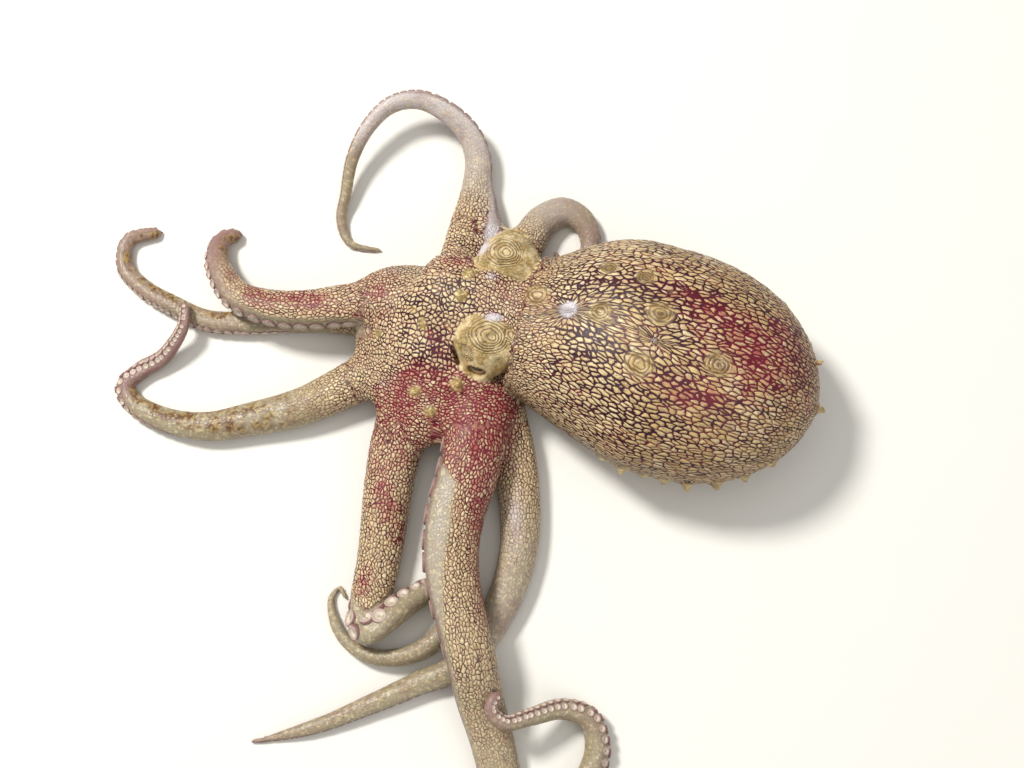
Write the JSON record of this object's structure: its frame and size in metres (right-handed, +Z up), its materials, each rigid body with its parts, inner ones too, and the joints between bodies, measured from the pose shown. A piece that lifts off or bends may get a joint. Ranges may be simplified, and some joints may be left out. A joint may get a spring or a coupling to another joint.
{
  "type": "octopus",
  "caption": "Still, life-size model of a young common octopus lying on the ground, its netted mantle behind, its arms spread, crossed and curled at their tips",
  "frame": {"origin": "centre of the underside of the bounding box, on the ground that the animal lies on", "axes": "+X towards the tail of the mantle, +Y towards the animal's right side, +Z up"},
  "size_m": [0.1452, 0.1558, 0.0321],
  "materials": {
    "skin": "wet, finely netted with dark lines",
    "pale_skin": "wet, smooth and pale",
    "eye": "clear and glossy"
  },
  "bodies": {
    "root": {"arm_crown": "skin", "arm_left_1_base": "skin", "arm_left_1_middle": "pale_skin", "arm_left_1_tip": "pale_skin", "arm_left_2_base": "skin", "arm_left_2_fold": "pale_skin", "arm_left_2_middle": "pale_skin", "arm_left_2_outer": "pale_skin", "arm_left_2_tip": "pale_skin", "arm_left_3_base": "skin", "arm_left_3_lower": "pale_skin", "arm_left_3_middle": "pale_skin", "arm_left_3_outer": "pale_skin", "arm_left_3_tip": "pale_skin", "arm_left_3_turn": "pale_skin", "arm_left_4_base": "skin", "arm_left_4_middle": "pale_skin", "arm_left_4_tip": "pale_skin", "arm_right_1_base": "skin", "arm_right_1_middle": "pale_skin", "arm_right_1_tip": "pale_skin", "arm_right_2_base": "skin", "arm_right_2_tip": "pale_skin", "arm_right_3_base": "skin", "arm_right_3_middle": "pale_skin", "arm_right_3_outer": "pale_skin", "arm_right_3_tip": "pale_skin", "arm_right_4_base": "skin", "arm_right_4_tip": "pale_skin", "eye_left": "eye", "eye_right": "eye", "head": "skin", "mantle": "skin", "siphon": "pale_skin"}
  },
  "joints": []
}
